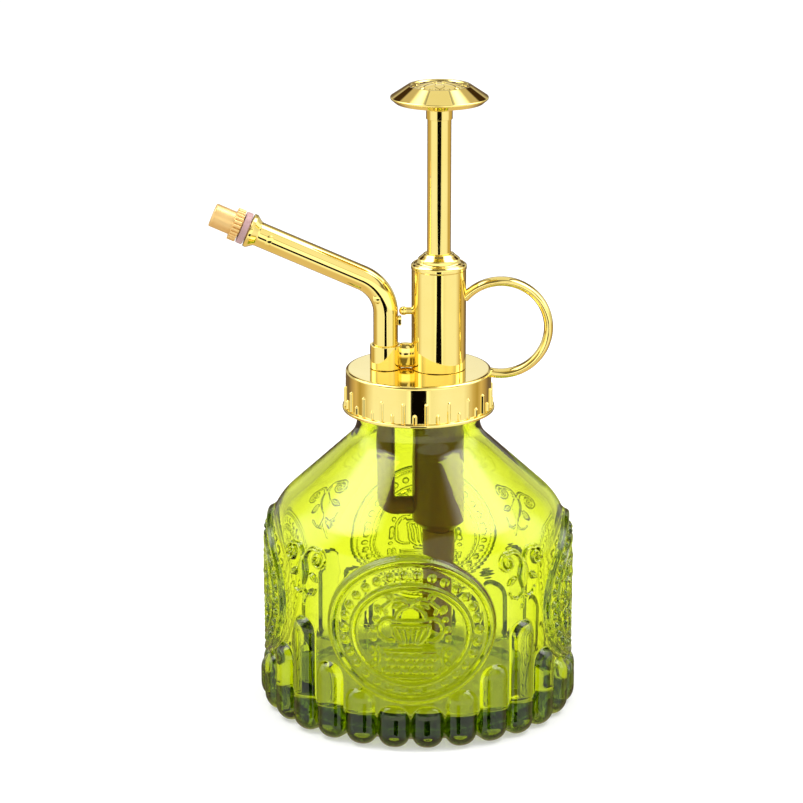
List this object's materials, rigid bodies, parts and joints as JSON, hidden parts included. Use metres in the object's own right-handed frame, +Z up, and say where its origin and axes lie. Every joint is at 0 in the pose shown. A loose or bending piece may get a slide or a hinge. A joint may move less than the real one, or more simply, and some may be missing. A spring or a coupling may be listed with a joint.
{
  "type": "plant mister",
  "caption": "Glass plant mister: lobed bottle with a screw-on pump head, thumb plunger, finger ring and bent spray spout.",
  "frame": {"origin": "centre of the bottle's flat foot, on the bottle's axis", "axes": "+Z up through the neck, -X towards the spout, +X towards the finger ring, -Y the front"},
  "size_m": [0.0954, 0.0832, 0.1642],
  "materials": {
    "glass": "gloss",
    "gold_plating": "polished",
    "nozzle_brass": "satin",
    "rose_washer": "satin",
    "amber_plastic": "gloss",
    "white_plastic": "satin",
    "black_rubber": "matte",
    "steel": "polished"
  },
  "bodies": {
    "bottle": {"glass_bottle": "glass"},
    "gasket": {"neck_gasket": "black_rubber"},
    "slip_ring": {"slip_washer": "white_plastic"},
    "head": {"screw_cap": "gold_plating", "finger_ring": "gold_plating", "outlet_bridge": "gold_plating", "brace_pin": "gold_plating", "riser_pipe": "amber_plastic", "spout_tube": "gold_plating", "spout_lug": "gold_plating", "spout_plug_outer": "gold_plating", "spout_plug_inner": "gold_plating", "pump_barrel": "gold_plating", "gland_nut": "gold_plating", "rod_seal": "black_rubber", "pump_cylinder": "amber_plastic", "cylinder_gasket": "black_rubber", "spring_seat": "white_plastic", "return_spring": "steel", "inlet_valve_housing": "amber_plastic", "suction_tube": "amber_plastic", "outlet_socket": "gold_plating", "outlet_valve_body": "white_plastic", "outlet_valve_spring": "steel", "spout_seal": "black_rubber", "nozzle_stem": "nozzle_brass", "swirl_core": "white_plastic"},
    "piston": {"piston": "white_plastic", "piston_seal": "black_rubber"},
    "plunger": {"plunger_rod": "gold_plating", "knob_ferrule": "gold_plating", "knob": "gold_plating"},
    "inlet_ball": {"inlet_valve_ball": "steel"},
    "outlet_ball": {"outlet_valve_ball": "steel"},
    "nozzle_collar": {"nozzle_washer": "rose_washer"},
    "nozzle": {"nozzle_cap": "nozzle_brass"}
  },
  "joints": [
    {"name": "head_lift", "type": "slide", "parent": "bottle", "child": "gasket", "axis": [0, 0, 1], "range_m": [0, 0.085]},
    {"name": "thread_rise", "type": "slide", "parent": "gasket", "child": "slip_ring", "axis": [0, 0, 1], "range_m": [0, 0.00374]},
    {"name": "head_turn", "type": "hinge", "parent": "slip_ring", "child": "head", "pos_m": [0, 0, 0.0884], "axis": [0, 0, 1], "range_deg": [0, 450]},
    {"name": "plunger_press", "type": "slide", "parent": "head", "child": "piston", "axis": [0, 0, -1], "range_m": [0, 0.034], "stiffness_N_per_m": 300, "springref_m": -0.015, "deforming": ["return_spring"]},
    {"name": "plunger_spin", "type": "hinge", "parent": "piston", "child": "plunger", "pos_m": [0.0052, 0, 0.16], "axis": [0, 0, 1], "continuous": true},
    {"name": "inlet_ball_lift", "type": "slide", "parent": "head", "child": "inlet_ball", "axis": [0, 0, 1], "range_m": [0, 0.0012]},
    {"name": "outlet_ball_lift", "type": "slide", "parent": "head", "child": "outlet_ball", "axis": [0, 0, 1], "range_m": [0, 0.001], "stiffness_N_per_m": 60, "springref_m": -0.0005, "deforming": ["outlet_valve_spring"]},
    {"name": "nozzle_advance", "type": "slide", "parent": "head", "child": "nozzle_collar", "axis": [-0.9164, 0, 0.4003], "range_m": [0, 0.00104]},
    {"name": "nozzle_turn", "type": "hinge", "parent": "nozzle_collar", "child": "nozzle", "pos_m": [-0.0085, 0, 0.11133], "axis": [-0.9164, 0, 0.4003], "range_deg": [0, 540]}
  ],
  "couplings": [
    {"joint": "head_turn", "follows": "thread_rise", "rad_per_m": 2094.4},
    {"joint": "nozzle_turn", "follows": "nozzle_advance", "rad_per_m": 8976}
  ]
}
